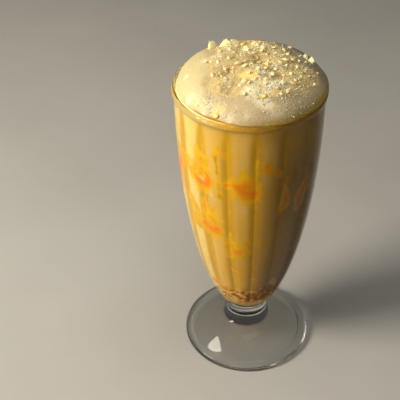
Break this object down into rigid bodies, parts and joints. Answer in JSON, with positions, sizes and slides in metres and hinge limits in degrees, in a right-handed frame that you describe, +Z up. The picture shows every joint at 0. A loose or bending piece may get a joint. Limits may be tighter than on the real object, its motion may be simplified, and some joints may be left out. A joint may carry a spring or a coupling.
{
  "type": "milkshake in a soda glass",
  "caption": "Milkshake in a tall footed soda glass with inside flutes, fruit sauce in the bottom of the bowl, and a domed head of froth with nut crumbs and flakes above the rim.",
  "frame": {"origin": "on the surface that the glass stands on, under the middle of the foot", "axes": "+Z up along the glass's axis, -Y towards the picture's viewer, +X to the viewer's right"},
  "size_m": [0.086, 0.086, 0.2086],
  "materials": {
    "clear_glass": "polished clear pressed glass",
    "fruit_sauce": "wet orange fruit sauce",
    "milkshake": "creamy yellow drink with streaks of orange sauce",
    "froth": "pale yellow froth of fine bubbles with tan crumbs"
  },
  "bodies": {
    "root": {"glass": "clear_glass", "sauce_pool": "fruit_sauce", "shake": "milkshake", "froth": "froth"}
  },
  "joints": []
}
